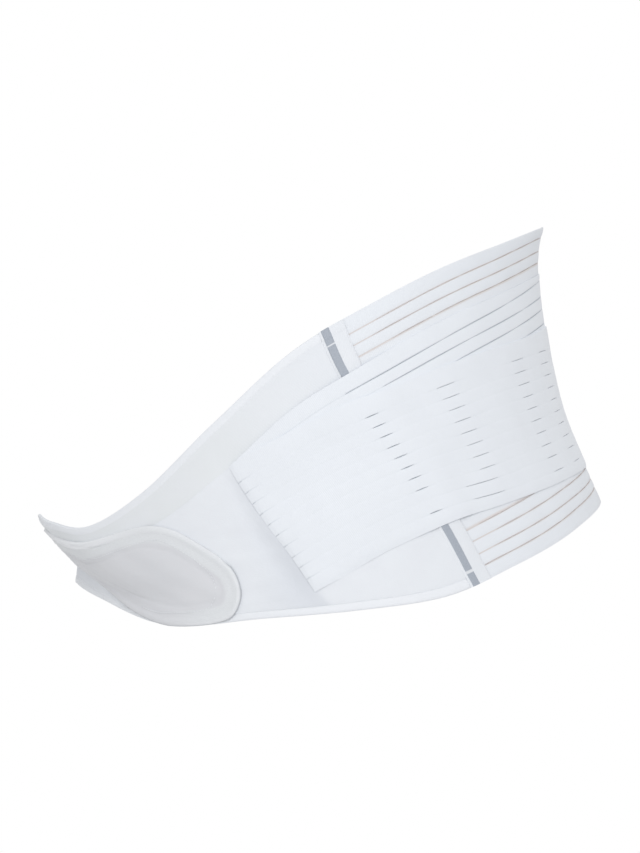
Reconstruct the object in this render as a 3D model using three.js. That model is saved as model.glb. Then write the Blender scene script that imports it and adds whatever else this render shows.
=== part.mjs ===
// Maternity support belt in its worn form, in millimetres, +Z up.
// The wearer faces -Y. The origin is on the body's axis, half way up the belt.
// Every cloth piece lies on one body form. A place on it is given by two shares:
// round is 0 at the middle of the back and 1 at the middle of the front, by the wearer's left (+X) side,
// and across is 0 at the lower edge of the belt and 1 at its upper edge.
import * as THREE from 'three';

// Main sizes of the worn belt
const beltDepth = 338;
const beltHeight = 240;
const beltWidth = 360;

// Cloth thicknesses, and the small air gap between two layers
const panelWall = 1.5;
const hemRise = 0.4;
const facingWall = 1.0;
const tapeWall = 1.0;
const stripWall = 0.6;
const strapWall = 1.4;
const tabWall = 3.0;
const tabRimWall = 2.0;
const layerGap = 0.5;
const seamGap = 0.8;

// Widths of the narrow pieces and of the hems
const tapeWidth = 17;
const stripWidth = 5.2;
const stripInset = 2.1;
const hemWidth = 6;
const facingInset = 2;

// Slits of the two pierced cloths
const slitHeight = 1.2;
const backSlitLength = 39;
const backSlitPitch = 47;
const backSlitCount = 9;
const strapSlitLength = 11;

// Where the side seams and the ends of the pieces lie, as shares round the belt
const seamRound = 0.437;
const leftPanelEnd = 1.12;
const rightPanelEnd = 0.877;
const facingSetback = 0.03;
const tabFarEnd = 1.19;
const tabNearEnd = 0.682;

// How far the line of the side seams bows forward, by the share across, and how far round that reaches
const seamBowRows = [
  { across: 0.0, bow: 0.0165 },
  { across: 0.22, bow: 0.005 },
  { across: 0.5, bow: 0.003 },
  { across: 0.81, bow: 0.0125 },
  { across: 1.0, bow: 0.0157 },
];
const seamBowReach = 0.12;

// How deep the closed tab draws the layers in at the middle of the front
const frontPress = 4.5;

// How far the sections lean back towards the lower edge, in radians round the body
const sectionLean = 0.41;

// Upper and lower edge of the belt round the body, as shares of half its height
const edgeRows = [
  { round: 0.0, top: 1.0, bottom: -0.38 },
  { round: 0.1, top: 0.98, bottom: -0.415 },
  { round: 0.2, top: 0.905, bottom: -0.48 },
  { round: 0.3, top: 0.79, bottom: -0.58 },
  { round: 0.4, top: 0.61, bottom: -0.7 },
  { round: 0.5, top: 0.375, bottom: -0.845 },
  { round: 0.6, top: 0.02, bottom: -0.912 },
  { round: 0.7, top: -0.325, bottom: -0.955 },
  { round: 0.8, top: -0.5, bottom: -0.99 },
  { round: 0.9, top: -0.475, bottom: -0.86 },
  { round: 1.0, top: -0.435, bottom: -0.785 },
];

// Body form from the lower to the upper edge: front and back as shares of half the depth,
// half as a share of half the width
const bodyRows = [
  { across: 0.0, front: -0.872, back: 1.0, half: 1.0 },
  { across: 0.3, front: -0.872, back: 0.872, half: 0.99 },
  { across: 0.5, front: -0.924, back: 0.82, half: 0.975 },
  { across: 0.7, front: -0.968, back: 0.784, half: 0.95 },
  { across: 0.85, front: -0.99, back: 0.773, half: 0.925 },
  { across: 1.0, front: -1.0, back: 0.784, half: 0.9 },
];

// Lower and upper edge of the side strap, as shares across the belt
const strapRows = [
  { round: 0.0, low: 0.125, high: 0.83 },
  { round: 0.2, low: 0.15, high: 0.826 },
  { round: 0.35, low: 0.188, high: 0.828 },
  { round: 0.45, low: 0.222, high: 0.828 },
  { round: 0.53, low: 0.213, high: 0.828 },
  { round: 0.6, low: 0.155, high: 0.797 },
  { round: 0.64, low: 0.11, high: 0.77 },
];
const strapTopEnd = 0.607;
const strapLowEnd = 0.628;

// Upper edge of the doubled cloth on the front panel
const facingRows = [
  { round: 0.44, high: 0.812 },
  { round: 0.55, high: 0.806 },
  { round: 0.7, high: 0.775 },
  { round: 0.85, high: 0.78 },
  { round: 1.12, high: 0.78 },
];

// Outline of the closure tab from its rounded near end to the far end
const tabRows = [
  { round: 0.682, low: 0.37, high: 0.46 },
  { round: 0.686, low: 0.31, high: 0.54 },
  { round: 0.695, low: 0.215, high: 0.67 },
  { round: 0.71, low: 0.115, high: 0.76 },
  { round: 0.73, low: 0.028, high: 0.815 },
  { round: 0.76, low: 0.0, high: 0.85 },
  { round: 0.8, low: 0.0, high: 0.862 },
  { round: 0.84, low: 0.07, high: 0.845 },
  { round: 0.88, low: 0.2, high: 0.815 },
  { round: 0.94, low: 0.285, high: 0.81 },
  { round: 1.0, low: 0.303, high: 0.8 },
  { round: 1.07, low: 0.26, high: 0.81 },
  { round: 1.13, low: 0.13, high: 0.88 },
  { round: 1.19, low: 0.05, high: 0.95 },
];

// Rounded near end of the tab: its length, and where its stations lie
const tabEndLength = 0.078;
const tabEndStations = [0, 0.004, 0.013, 0.028, 0.048];
const tabRimShare = 0.05;

// Rows of slits: on the back panel as shares across the belt, on the strap as shares across the strap
const backSlitRows = [0.045, 0.085, 0.125, 0.165, 0.85, 0.895, 0.94];
const strapSlitRows = [0.088, 0.234, 0.306, 0.377, 0.447, 0.517, 0.588, 0.657, 0.726, 0.873];
const strapSlitColumns = [
  { round: 0.21, first: 1, last: 8 },
  { round: 0.341, first: 1, last: 8 },
  { round: 0.443, first: 0, last: 9 },
];

// Stations of the panels' grids: their number over half a round, and their shares across
const stationsRound = 40;
const panelStations = [0.14, 0.24, 0.33, 0.43, 0.53, 0.63, 0.74, 0.86];

// Breadths of the back panel and of the strap at the middle of the back, as shares of the belt's height
const backBreadth = 0.7;
const strapBreadth = 0.43;

// Shares that one millimetre takes up round the belt, across the belt and across the strap
const roundPerMm = 4 / (Math.PI * (beltWidth + beltDepth));
const acrossPerMm = 1 / (backBreadth * beltHeight);
const strapPerMm = 1 / (strapBreadth * beltHeight);

// Offsets of the layers from the body form
const overPanel = panelWall + hemRise + layerGap;
const overTape = overPanel + tapeWall + layerGap;
const overStrip = overTape + stripWall + layerGap;
const overFacing = panelWall + layerGap + facingWall + layerGap;

// Value of a column of a table at x, on a smooth curve through the table's rows
function along(rows, key, column, x) {
  const last = rows.length - 1;
  const slope = (i) => {
    const a = rows[Math.max(i - 1, 0)];
    const b = rows[Math.min(i + 1, last)];
    return (b[column] - a[column]) / (b[key] - a[key]);
  };
  let i = 0;
  while (i < last - 1 && x > rows[i + 1][key]) i += 1;
  const span = rows[i + 1][key] - rows[i][key];
  const u = THREE.MathUtils.clamp((x - rows[i][key]) / span, 0, 1);
  const rise = rows[i][column] * (1 + 2 * u) * (1 - u) ** 2 + rows[i + 1][column] * u * u * (3 - 2 * u);
  return rise + span * u * (1 - u) * (slope(i) * (1 - u) - slope(i + 1) * u);
}

// Share round the belt counted from the back on either side, so that it is 1 at the middle of the front
function folded(round) {
  return Math.abs(round) > 1 ? 2 - Math.abs(round) : Math.abs(round);
}

// Point of the body form
function bodyPoint(round, across) {
  const away = (Math.abs(round) - seamRound) / seamBowReach;
  const bow = along(seamBowRows, 'across', 'bow', across) * Math.exp(-away * away);
  const place = round + Math.sign(round) * bow;
  const top = along(edgeRows, 'round', 'top', folded(place));
  const bottom = along(edgeRows, 'round', 'bottom', folded(place));
  const turn = Math.PI * place;
  const angle = turn - sectionLean * (1 - across) * Math.sin(turn);
  const front = along(bodyRows, 'across', 'front', across);
  const back = along(bodyRows, 'across', 'back', across);
  const half = along(bodyRows, 'across', 'half', across);
  return new THREE.Vector3(
    0.5 * beltWidth * half * Math.sin(angle),
    0.25 * beltDepth * (front + back + (back - front) * Math.cos(angle)),
    0.5 * beltHeight * THREE.MathUtils.lerp(bottom, top, across),
  );
}

// Point that lies the given distance outside the body form
function layerPoint(round, across, distance) {
  const step = 0.001;
  const low = Math.max(across - step, 0);
  const high = Math.min(across + step, 1);
  const upward = bodyPoint(round, high).sub(bodyPoint(round, low));
  const onward = bodyPoint(round + step, across).sub(bodyPoint(round - step, across));
  const outward = upward.cross(onward).normalize();
  const { smoothstep } = THREE.MathUtils;
  const drawnIn = frontPress * smoothstep(folded(round), 0.74, 0.94) * (1 - smoothstep(across, 0.75, 1));
  return bodyPoint(round, across).addScaledVector(outward, distance - drawnIn);
}

// Evenly spaced values from a to b
function steps(a, b, count) {
  return Array.from({ length: count + 1 }, (_, i) => THREE.MathUtils.lerp(a, b, i / count));
}

// Closed sheet of cloth over a grid of stations, with some cells of the grid cut out.
// spot turns a pair of stations into round and across, inner is the distance of the inner face,
// wall the thickness, and side -1 makes the mirrored piece of the wearer's right.
function sheet({ name, material, onward, upward, spot, inner, wall, isCut = () => false, side = 1 }) {
  const columns = onward.length;
  const rows = upward.length;
  const isOpen = (i, j) => i < 0 || j < 0 || i >= columns - 1 || j >= rows - 1 || isCut(i, j);
  const positions = [];
  const numbers = new Map();
  const vertex = (i, j, outer) => {
    const [round, across] = spot(onward[i], upward[j]);
    const depth = inner + (outer ? wall(onward[i], upward[j]) : 0);
    const point = layerPoint(side * round, across, depth);
    const label = point.toArray().map((value) => value.toFixed(4)).join(' ');
    if (!numbers.has(label)) {
      numbers.set(label, positions.length / 3);
      positions.push(point.x, point.y, point.z);
    }
    return numbers.get(label);
  };
  const indices = [];
  const triangle = (a, b, c) => {
    if (a === b || b === c || c === a) return;
    indices.push(...(side > 0 ? [a, b, c] : [a, c, b]));
  };
  const quad = (a, b, c, d) => {
    triangle(a, b, c);
    triangle(a, c, d);
  };
  for (let i = 0; i < columns - 1; i += 1) {
    for (let j = 0; j < rows - 1; j += 1) {
      if (isOpen(i, j)) continue;
      const outer = [[i, j], [i, j + 1], [i + 1, j + 1], [i + 1, j]].map(([p, q]) => vertex(p, q, true));
      const inside = [[i, j], [i, j + 1], [i + 1, j + 1], [i + 1, j]].map(([p, q]) => vertex(p, q, false));
      quad(outer[0], outer[1], outer[2], outer[3]);
      quad(inside[3], inside[2], inside[1], inside[0]);
      const neighbours = [[i - 1, j], [i, j + 1], [i + 1, j], [i, j - 1]];
      neighbours.forEach(([p, q], k) => {
        const n = (k + 1) % 4;
        if (isOpen(p, q)) quad(outer[n], outer[k], inside[k], inside[n]);
      });
    }
  }
  const geometry = new THREE.BufferGeometry();
  geometry.setAttribute('position', new THREE.Float32BufferAttribute(positions, 3));
  geometry.setIndex(indices);
  geometry.computeVertexNormals();
  const mesh = new THREE.Mesh(geometry, material);
  mesh.name = name;
  return mesh;
}

function cloth(color, roughness) {
  return new THREE.MeshStandardMaterial({ color, roughness, metalness: 0, flatShading: true });
}

// Sides of the belt: the wearer's left is +X
const sides = [
  { word: 'left', side: 1, panelEnd: leftPanelEnd },
  { word: 'right', side: -1, panelEnd: rightPanelEnd },
];

const belt = new THREE.Group();

// Back panel of slit elastic, from side seam to side seam round the back
function backPanel() {
  const end = seamRound - 0.5 * seamGap * roundPerMm;
  const halfSlit = 0.5 * backSlitLength * roundPerMm;
  const reach = 0.5 * (backSlitCount - 1) * backSlitPitch * roundPerMm;
  const middles = steps(-reach, reach, backSlitCount - 1);
  const onward = [-end];
  middles.forEach((middle) => onward.push(middle - halfSlit, middle, middle + halfSlit));
  onward.push(end);
  const upward = [0];
  backSlitRows.forEach((row) => {
    if (row > 0.5 && upward[upward.length - 1] < 0.5) {
      upward.push(...panelStations.filter((share) => share > 0.2 && share < 0.8));
    }
    upward.push(row - 0.5 * slitHeight * acrossPerMm, row + 0.5 * slitHeight * acrossPerMm);
  });
  upward.push(1);
  const slitRow = (j) => backSlitRows.some((row) => Math.abs(0.5 * (upward[j] + upward[j + 1]) - row) < 1e-6);
  const slitColumn = (i) => i > 0 && i < onward.length - 2 && (i - 1) % 3 !== 2;
  return sheet({
    name: 'back_panel',
    material: cloth('#f1f2f6', 0.85),
    onward,
    upward,
    spot: (round, across) => [round, across],
    inner: 0,
    wall: () => panelWall,
    isCut: (i, j) => slitRow(j) && slitColumn(i),
  });
}

// Width of a hem at a station round the belt, as a share across it
function hemShare(round, width) {
  return width / bodyPoint(round, 0).distanceTo(bodyPoint(round, 1));
}

// Front panel with turned hems along both edges, from the side seam to its end under the tab.
// Its stations across count the lines of the hems at both edges and the shares between the hems.
function frontPanel({ word, side, panelEnd }) {
  const start = seamRound + 0.5 * seamGap * roundPerMm;
  const lines = [
    { hems: 0, share: 0 },
    { hems: 1, share: 0 },
    { hems: 1.2, share: 0 },
    ...panelStations.map((share) => ({ hems: 1.2, share })),
    { hems: 1.2, share: 1 },
    { hems: 1, share: 1 },
    { hems: 0, share: 1 },
  ];
  return sheet({
    name: `front_panel_${word}`,
    material: cloth('#e9ecf0', 0.8),
    onward: steps(start, panelEnd, Math.round((panelEnd - start) * stationsRound)),
    upward: lines,
    spot: (round, { hems, share }) => {
      const hem = hems * hemShare(round, hemWidth);
      return [round, THREE.MathUtils.lerp(hem, 1 - hem, share)];
    },
    inner: 0,
    wall: (round, { hems }) => panelWall + (hems > 1.1 ? 0 : hemRise),
    side,
  });
}

// Doubled cloth that makes the middle of the front panel white and takes the hooks of tab and strap
function frontFacing({ word, side, panelEnd }) {
  const start = seamRound + (0.5 * tapeWidth + layerGap) * roundPerMm;
  const end = panelEnd - facingSetback;
  return sheet({
    name: `front_facing_${word}`,
    material: cloth('#f6f7fb', 0.9),
    onward: steps(start, end, Math.round((end - start) * stationsRound)),
    upward: steps(0, 1, 8),
    spot: (round, share) => {
      const low = hemShare(round, hemWidth + facingInset);
      return [round, THREE.MathUtils.lerp(low, along(facingRows, 'round', 'high', round), share)];
    },
    inner: panelWall + layerGap,
    wall: () => facingWall,
    side,
  });
}

// Woven tape over the side seam
function seamTape({ word, side }) {
  const half = 0.5 * tapeWidth * roundPerMm;
  return sheet({
    name: `seam_tape_${word}`,
    material: cloth('#f4f5f8', 0.7),
    onward: steps(seamRound - half, seamRound + half, 2),
    upward: steps(0, 1, 8),
    spot: (round, across) => [round, across],
    inner: overPanel,
    wall: () => tapeWall,
    side,
  });
}

// Narrow grey strip on the front part of the tape
function greyStrip({ word, side }) {
  const end = seamRound + (0.5 * tapeWidth - stripInset) * roundPerMm;
  return sheet({
    name: `grey_strip_${word}`,
    material: cloth('#9aa1ac', 0.6),
    onward: steps(end - stripWidth * roundPerMm, end, 1),
    upward: steps(0, 1, 8),
    spot: (round, across) => [round, across],
    inner: overTape,
    wall: () => stripWall,
    side,
  });
}

// Side strap of slit elastic, from the middle of the back over the tape to its end on the front panel
function sideStrap({ word, side }) {
  const start = 0.5 * layerGap * roundPerMm;
  const halfLength = 0.5 * strapSlitLength * roundPerMm;
  const halfHeight = 0.5 * slitHeight * strapPerMm;
  const length = 0.5 * (strapTopEnd + strapLowEnd);
  const toShare = (round) => (round - start) / (length - start);
  const onward = [start, 0.07, 0.14].map(toShare);
  strapSlitColumns.forEach(({ round }, k) => {
    const next = k + 1 < strapSlitColumns.length ? strapSlitColumns[k + 1].round : 0;
    onward.push(toShare(round - halfLength), toShare(round + halfLength));
    if (next) onward.push(toShare(0.5 * (round + next)));
  });
  onward.push(toShare(0.5), toShare(0.56), 1);
  const upward = [0];
  strapSlitRows.forEach((row) => upward.push(row - halfHeight, row + halfHeight));
  upward.push(1);
  const isCut = (i, j) => {
    const middle = start + 0.5 * (onward[i] + onward[i + 1]) * (length - start);
    const column = strapSlitColumns.find(({ round }) => Math.abs(round - middle) < 1e-6);
    const row = (j - 1) / 2;
    return column !== undefined && Number.isInteger(row) && row >= column.first && row <= column.last;
  };
  return sheet({
    name: `side_strap_${word}`,
    material: cloth('#f7f8fc', 0.85),
    onward,
    upward,
    spot: (share, height) => {
      const end = THREE.MathUtils.lerp(strapLowEnd, strapTopEnd, height);
      const late = THREE.MathUtils.smoothstep(share, 0.75, 1);
      const round = start + share * (THREE.MathUtils.lerp(length, end, late) - start);
      const low = along(strapRows, 'round', 'low', round);
      const high = along(strapRows, 'round', 'high', round);
      return [round, THREE.MathUtils.lerp(low, high, height)];
    },
    inner: overStrip,
    wall: () => strapWall,
    isCut,
    side,
  });
}

// Padded closure tab: sewn to the right front panel, lapped over the left one, with a rounded end
function closureTab() {
  const near = tabEndStations.map((distance) => tabNearEnd + distance);
  const far = steps(tabNearEnd + tabEndLength, tabFarEnd, 18);
  return sheet({
    name: 'closure_tab',
    material: cloth('#e3e2e2', 0.8),
    onward: [...near, ...far],
    upward: [0, 0.08, 0.2, 0.4, 0.6, 0.8, 0.92, 1],
    spot: (round, share) => {
      const low = Math.max(along(tabRows, 'round', 'low', round), 0);
      const high = along(tabRows, 'round', 'high', round);
      return [round, THREE.MathUtils.lerp(low, high, share)];
    },
    inner: overFacing + hemRise,
    wall: (round, share) => {
      const isRim = share < tabRimShare || share > 1 - tabRimShare || round < tabNearEnd + tabEndStations[2];
      return isRim ? tabRimWall : tabWall;
    },
  });
}

belt.add(backPanel(), closureTab());
sides.forEach((where) => {
  belt.add(frontPanel(where), frontFacing(where), seamTape(where), greyStrip(where), sideStrap(where));
});

export default belt;
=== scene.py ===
# Maternity support belt in its worn form, in metres, +Z up, the wearer facing -Y.
# A place on the belt is given as in the model: round is 0 at the middle of the back and 1 at the middle of
# the front by the wearer's left (+X) side, and across runs from 0 at the lower edge to 1 at the upper edge.
import math

import bpy
import numpy as np
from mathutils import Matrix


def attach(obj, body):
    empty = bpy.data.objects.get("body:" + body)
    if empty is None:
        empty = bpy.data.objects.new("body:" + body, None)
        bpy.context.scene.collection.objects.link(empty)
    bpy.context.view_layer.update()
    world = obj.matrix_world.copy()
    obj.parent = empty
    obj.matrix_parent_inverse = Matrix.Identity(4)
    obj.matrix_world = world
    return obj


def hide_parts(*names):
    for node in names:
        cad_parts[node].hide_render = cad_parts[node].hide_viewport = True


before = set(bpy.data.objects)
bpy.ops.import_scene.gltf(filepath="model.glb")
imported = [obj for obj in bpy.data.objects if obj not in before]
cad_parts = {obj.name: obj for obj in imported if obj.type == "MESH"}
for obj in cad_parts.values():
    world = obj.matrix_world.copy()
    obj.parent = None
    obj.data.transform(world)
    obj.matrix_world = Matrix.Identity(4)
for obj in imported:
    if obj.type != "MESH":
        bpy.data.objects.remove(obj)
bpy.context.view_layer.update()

# Back panel
# One piece of slit elastic from side seam to side seam round the back: a white rib knit with rubber
# in it, knitted in bands about 7 mm high that short bridges join between rows of slits. Its ends are
# butted against the front panels under the seam tapes.
METRES_PER_MM = 0.001
SHARP_ANGLE = 62
BELT_DEPTH = 338
BELT_HEIGHT = 240
BELT_WIDTH = 360
SECTION_LEAN = 0.41
SEAM_ROUND = 0.437
ROUND_PER_MM = 4 / (math.pi * (BELT_WIDTH + BELT_DEPTH))

# Upper and lower edge of the belt by round, as shares of half its height
upper_edge = [
    (0.0, 1.012), (0.02, 1.011), (0.1, 0.983), (0.2, 0.905), (0.3, 0.79), (0.4, 0.61), (0.5, 0.375),
    (0.6, 0.02), (0.7, -0.325), (0.8, -0.5), (0.9, -0.475), (0.975, -0.436), (1.0, -0.4345),
]
lower_edge = [
    (0.0, -0.3805), (0.02, -0.3815), (0.1, -0.415), (0.2, -0.48), (0.3, -0.58), (0.4, -0.7), (0.5, -0.845),
    (0.6, -0.912), (0.7, -0.955), (0.8, -0.99), (0.9, -0.86), (0.975, -0.79), (1.0, -0.7865),
]
# Front, back and half width of the body by across, as shares of half the depth and half the width
body_front = [(0.0, -0.872), (0.3, -0.872), (0.5, -0.924), (0.7, -0.968), (0.85, -0.99), (1.0, -1.0)]
body_back = [(0.0, 1.0), (0.3, 0.872), (0.5, 0.82), (0.7, 0.784), (0.85, 0.773), (1.0, 0.784)]
body_half = [(0.0, 1.0), (0.3, 0.99), (0.5, 0.975), (0.7, 0.95), (0.85, 0.925), (1.0, 0.9)]
# How far the line of the side seams bows forward, by across, and how far round that reaches
seam_bow = [(0.0, 0.0165), (0.22, 0.005), (0.5, 0.003), (0.81, 0.0125), (1.0, 0.0157)]
SEAM_BOW_REACH = 0.12


def along(rows, x):
    """Values at x on a smooth curve through a table of (place, value) rows."""
    keys, values = np.array(rows, float).T
    last = len(keys) - 1
    before = np.maximum(np.arange(last + 1) - 1, 0)
    after = np.minimum(np.arange(last + 1) + 1, last)
    slopes = (values[after] - values[before]) / (keys[after] - keys[before])
    i = np.clip(np.searchsorted(keys, x) - 1, 0, last - 1)
    span = keys[i + 1] - keys[i]
    u = np.clip((x - keys[i]) / span, 0, 1)
    rise = values[i] * (1 + 2 * u) * (1 - u) ** 2 + values[i + 1] * u * u * (3 - 2 * u)
    return rise + span * u * (1 - u) * (slopes[i] * (1 - u) - slopes[i + 1] * u)


def smooth_step(low, high, x):
    """0 below low, 1 above high, and a smooth rise between."""
    u = np.clip((x - low) / (high - low), 0, 1)
    return u * u * (3 - 2 * u)


def body_point(round_, across):
    """Points of the body form, in millimetres."""
    away = (np.abs(round_) - SEAM_ROUND) / SEAM_BOW_REACH
    bow = along(seam_bow, across) * np.exp(-away * away)
    place = round_ + np.sign(round_) * bow
    fold = np.where(np.abs(place) > 1, 2 - np.abs(place), np.abs(place))
    top = along(upper_edge, fold)
    bottom = along(lower_edge, fold)
    turn = math.pi * place
    angle = turn - SECTION_LEAN * (1 - across) * np.sin(turn)
    front = along(body_front, across)
    back = along(body_back, across)
    x = 0.5 * BELT_WIDTH * along(body_half, across) * np.sin(angle)
    y = 0.25 * BELT_DEPTH * (front + back + (back - front) * np.cos(angle))
    z = 0.5 * BELT_HEIGHT * (bottom + (top - bottom) * across)
    return np.stack([x, y, z], axis=-1)


def layer_point(round_, across, distance):
    """Points that lie the given distance outside the body form, in millimetres."""
    step = 0.001
    above = body_point(round_, np.minimum(across + step, 1))
    upward = above - body_point(round_, np.maximum(across - step, 0))
    onward = body_point(round_ + step, across) - body_point(round_ - step, across)
    outward = np.cross(upward, onward)
    outward /= np.linalg.norm(outward, axis=-1, keepdims=True)
    return body_point(round_, across) + outward * np.asarray(distance)[..., None]


def height_at(round_):
    """Height of the belt along its surface at places round it, in millimetres."""
    shares = np.linspace(0, 1, 9)
    places = np.asarray(round_)[..., None]
    points = body_point(places + 0 * shares, 0 * places + shares)
    return np.linalg.norm(np.diff(points, axis=-2), axis=-1).sum(axis=-1)


def linear(code):
    """Linear colour of an sRGB hex code."""
    parts = [int(code[i:i + 2], 16) / 255 for i in (1, 3, 5)]
    return (*[c / 12.92 if c <= 0.04045 else ((c + 0.055) / 1.055) ** 2.4 for c in parts], 1.0)


def add_node(tree, kind, settings=None, values=None, links=None):
    """A node with its settings, its sockets' values and its incoming links."""
    node = tree.nodes.new(kind)
    for key, value in (settings or {}).items():
        setattr(node, key, value)
    for key, value in (values or {}).items():
        node.inputs[key].default_value = value
    for key, source in (links or {}).items():
        tree.links.new(source, node.inputs[key])
    return node


def spread(values, like):
    """Values of the columns repeated over the lines of a grid."""
    return np.repeat(values[:, None], like.shape[1], axis=1)


def cloth_object(
    name, round_, across, inner, outer, place, material, cut=None, side=1, marks=None, across_in=None
):
    """Closed sheet of cloth over a grid of places, with some cells cut out and a wall round every edge.
    inner and outer are the distances of its two faces from the body form, and place holds where each point
    lies on the flat cloth, in millimetres. marks are further values that the material reads, and across_in
    is where the inner face's points lie, if not under the outer ones."""
    columns, lines = round_.shape
    kept = np.ones((columns - 1, lines - 1), bool) if cut is None else ~cut
    faces_out = layer_point(side * round_, across, outer)
    faces_in = layer_point(side * round_, across if across_in is None else across_in, inner)
    points = np.concatenate([faces_out.reshape(-1, 3), faces_in.reshape(-1, 3)])
    number = np.arange(columns * lines).reshape(columns, lines)
    corner = [number[:-1, :-1], number[:-1, 1:], number[1:, 1:], number[1:, :-1]]
    padded = np.zeros((columns + 1, lines + 1), bool)
    padded[1:-1, 1:-1] = kept
    beside = [padded[:-2, 1:-1], padded[1:-1, 2:], padded[2:, 1:-1], padded[1:-1, :-2]]
    under = columns * lines
    quads = [
        np.stack([c[kept] for c in corner], axis=-1),
        np.stack([c[kept] + under for c in corner[::-1]], axis=-1),
    ]
    for k in range(4):
        n = (k + 1) % 4
        edge = kept & ~beside[k]
        wall = [corner[n][edge], corner[k][edge], corner[k][edge] + under, corner[n][edge] + under]
        quads.append(np.stack(wall, axis=-1))
    quads = np.concatenate(quads)
    if side < 0:
        quads = quads[:, ::-1]
    used = np.unique(quads)
    renumber = np.zeros(len(points), int)
    renumber[used] = np.arange(len(used))
    mesh = bpy.data.meshes.new(name)
    mesh.from_pydata((points[used] * METRES_PER_MM).tolist(), [], renumber[quads].tolist())
    flat_place = np.concatenate([np.stack(place, axis=-1).reshape(-1, 2)] * 2)[used]
    weave = mesh.attributes.new("weave", "FLOAT_VECTOR", "POINT")
    weave.data.foreach_set("vector", np.pad(flat_place, ((0, 0), (0, 1))).astype(np.float32).ravel())
    for key, value in (marks or {}).items():
        both = np.concatenate([np.broadcast_to(value, round_.shape).ravel()] * 2)[used]
        attribute = mesh.attributes.new(key, "FLOAT", "POINT")
        attribute.data.foreach_set("value", both.astype(np.float32))
    mesh.polygons.foreach_set("use_smooth", np.ones(len(mesh.polygons), bool))
    mesh.set_sharp_from_angle(angle=math.radians(SHARP_ANGLE))
    mesh.materials.append(material)
    obj = bpy.data.objects.new(name, mesh)
    bpy.context.scene.collection.objects.link(obj)
    return obj


def banded(rows, half_gaps):
    """Lines across a slit cloth. rows are the places of its lower edge, its slit rows and its upper edge
    at each column, and half_gaps half the opening there, which narrows towards the inner face.
    Returns the place of each line outside and inside, its share of the band, and the cells in a slit row."""
    shares = np.array(band_profile)
    faces = []
    for taper in (1, SLIT_TAPER):
        bands = []
        for k in range(len(rows) - 1):
            low = rows[k] + taper * half_gaps[k]
            high = rows[k + 1] - taper * half_gaps[k + 1]
            bands.append(low[:, None] + (high - low)[:, None] * shares)
        faces.append(np.concatenate(bands, axis=1))
    slit_cells = [(k + 1) * len(shares) - 1 for k in range(len(rows) - 2)]
    return *faces, np.tile(shares, len(rows) - 1), slit_cells


def slit_cut(openings, slit_cells, across, open_from):
    """The cells of a grid that lie in an open slit."""
    cut = np.zeros((across.shape[0] - 1, across.shape[1] - 1), bool)
    for opening, cell in zip(openings, slit_cells):
        cut[:, cell] = np.maximum(opening[:-1], opening[1:]) > open_from
    return cut


def puffed(share):
    """Round swell of a band of rubber and yarn over its width: 0 at its lips, 1 in its middle."""
    return np.sqrt(np.clip(1 - (2 * share - 1) ** 2, 0, 1))


def lens(x, middle, half_length):
    """Opening of a slit along x: 1 in the middle, 0 beyond its pointed ends."""
    return np.clip(1 - ((x - middle) / half_length) ** 2, 0, 1)


def ripple(x, y, size, phase):
    """Gentle unevenness of cloth under tension, from -1 to 1, with waves of about size millimetres."""
    slow = np.sin(x * 2 * math.pi / size + phase + 1.3 * np.sin(y * 2 * math.pi / (2.1 * size) + 2 * phase))
    fast = np.sin(x * 2 * math.pi / (0.61 * size) - y * 2 * math.pi / (1.37 * size) + 3 * phase)
    return 0.65 * slow + 0.35 * fast


def new_material(name):
    """An empty material's tree and its shader."""
    material = bpy.data.materials.new(name)
    material.use_nodes = True
    tree = material.node_tree
    return material, tree, tree.nodes["Principled BSDF"]


def new_cloth(name):
    """An empty material's tree and its shader, and the link that gives a point's place on the flat cloth."""
    material, tree, shader = new_material(name)
    where = add_node(tree, "ShaderNodeAttribute", {"attribute_name": "weave"})
    return material, tree, shader, {"Vector": where.outputs["Vector"]}


def wave_scale(pitch):
    """Scale of a wave texture on the flat cloth whose bands lie pitch millimetres apart."""
    return 2 * math.pi / (20 * pitch)


def finish_cloth(tree, shader, colour, bump, values):
    """The last links of a cloth's material and its shader's values."""
    tree.links.new(colour.outputs[2], shader.inputs["Base Color"])
    tree.links.new(bump.outputs["Normal"], shader.inputs["Normal"])
    for key, value in values.items():
        shader.inputs[key].default_value = value


# Slit elastic: polyamide rib knit over rubber threads, matt and softly fuzzy. Fine ribs run across the
# bands. The lip of each slit is painted darker, as painted shade of the slits: a warm grey on the back
# panel and a cool grey on the straps. Here and in the cloths below, the real ribs, wales and loops are too
# fine to show, so they are drawn a little coarser.
RIB_PITCH = 1.1
RIB_DEPTH = 0.00022
KNIT_GRAIN = 1.6
KNIT_PATCHES = 0.035
slit_elastic, tree, shader, on_cloth = new_cloth("slit_elastic_rib_knit")
# lip marks where the painted shade of the slits lies, and warm marks the back panel, where that painted shade
# is warmer
lip = add_node(tree, "ShaderNodeAttribute", {"attribute_name": "lip"})
warm = add_node(tree, "ShaderNodeAttribute", {"attribute_name": "warm"})
ribs = add_node(
    tree, "ShaderNodeTexWave", {"wave_type": "BANDS", "bands_direction": "X"},
    {"Scale": wave_scale(RIB_PITCH), "Distortion": 0.6, "Detail": 1.0, "Detail Scale": 0.4},
    on_cloth,
)
grain = add_node(tree, "ShaderNodeTexNoise", None, {"Scale": KNIT_GRAIN, "Detail": 2.0}, on_cloth)
patches = add_node(tree, "ShaderNodeTexNoise", None, {"Scale": KNIT_PATCHES, "Detail": 2.0}, on_cloth)
relief = add_node(
    tree, "ShaderNodeMath", {"operation": "MULTIPLY_ADD"}, {1: 0.6},
    {0: grain.outputs["Fac"], 2: ribs.outputs["Fac"]},
)
strength = add_node(
    tree, "ShaderNodeMath", {"operation": "MULTIPLY_ADD"}, {1: 0.16, 2: 0.12}, {0: warm.outputs["Fac"]}
)
bump = add_node(
    tree, "ShaderNodeBump", None, {"Distance": RIB_DEPTH},
    {"Height": relief.outputs[0], "Strength": strength.outputs[0]},
)
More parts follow.
